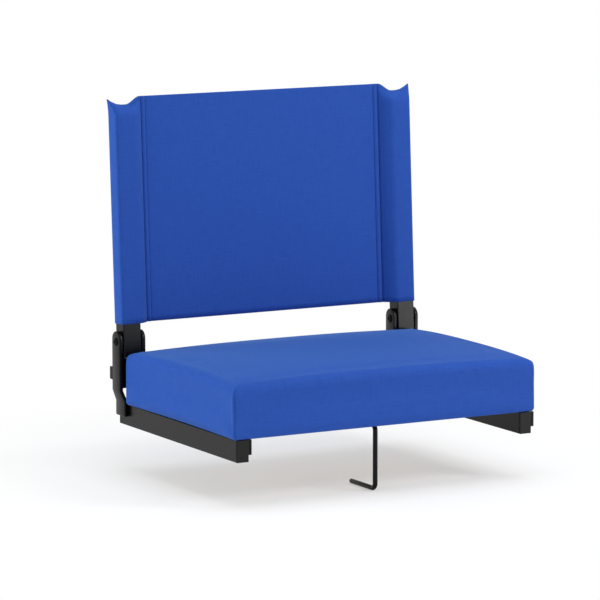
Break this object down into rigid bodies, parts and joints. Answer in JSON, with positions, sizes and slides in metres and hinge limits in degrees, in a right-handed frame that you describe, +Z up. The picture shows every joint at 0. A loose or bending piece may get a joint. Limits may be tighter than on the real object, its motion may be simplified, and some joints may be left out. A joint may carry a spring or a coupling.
{
  "type": "stadium chair",
  "caption": "Folding bleacher seat: padded cushion on steel rails, fabric back sling on hinged uprights that fold down onto it, and a swinging hook that grips the bench plank.",
  "frame": {"origin": "on the bench top under the rails, midway between the rails and midway along their length", "axes": "+X to the right seen from the front, +Y towards the back rest, +Z up; the chair faces -Y"},
  "size_m": [0.437, 0.33, 0.4667],
  "materials": {
    "black_powder_coat": "satin black powder coat on steel",
    "black_plastic": "matt moulded end cap",
    "blue_woven_polyester": "plain woven polyester with a fine even grain",
    "seat_foam": "open cell polyurethane foam",
    "plywood": "bare plywood",
    "nylon": "natural nylon",
    "zinc_plate": "zinc plated steel"
  },
  "bodies": {
    "seat_frame": {"left_rail": "black_powder_coat", "left_rail_front_cap": "black_plastic", "left_rail_rear_cap": "black_plastic", "left_rail_front_screw": "zinc_plate", "left_rail_rear_screw": "zinc_plate", "left_outer_hinge_plate": "black_powder_coat", "left_inner_hinge_plate": "black_powder_coat", "left_outer_washer": "nylon", "left_inner_washer": "nylon", "left_pivot_rivet": "black_powder_coat", "left_stop_bar": "black_powder_coat", "right_rail": "black_powder_coat", "right_rail_front_cap": "black_plastic", "right_rail_rear_cap": "black_plastic", "right_rail_front_screw": "zinc_plate", "right_rail_rear_screw": "zinc_plate", "right_outer_hinge_plate": "black_powder_coat", "right_inner_hinge_plate": "black_powder_coat", "right_outer_washer": "nylon", "right_inner_washer": "nylon", "right_pivot_rivet": "black_powder_coat", "right_stop_bar": "black_powder_coat", "rear_cross_bar": "black_powder_coat", "seat_board": "plywood", "seat_foam": "seat_foam", "seat_cover": "blue_woven_polyester", "hook_front_saddle": "zinc_plate", "hook_rear_saddle": "zinc_plate", "hook_front_left_screw": "zinc_plate", "hook_front_right_screw": "zinc_plate", "hook_rear_left_screw": "zinc_plate", "hook_rear_right_screw": "zinc_plate"},
    "back": {"left_upright": "black_powder_coat", "left_upright_cap": "black_plastic", "left_pivot_bush": "nylon", "right_upright": "black_powder_coat", "right_upright_cap": "black_plastic", "right_pivot_bush": "nylon", "back_sling": "blue_woven_polyester"},
    "hook": {"bench_hook": "black_powder_coat", "hook_collar": "zinc_plate"}
  },
  "joints": [
    {"name": "back_fold", "type": "hinge", "parent": "seat_frame", "child": "back", "pos_m": [0, 0.145, 0.105], "axis": [1, 0, 0], "range_deg": [0, 87]},
    {"name": "hook_swing", "type": "hinge", "parent": "seat_frame", "child": "hook", "pos_m": [0, -0.1269, 0.0235], "axis": [0, 1, 0], "range_deg": [-90, 90]}
  ]
}
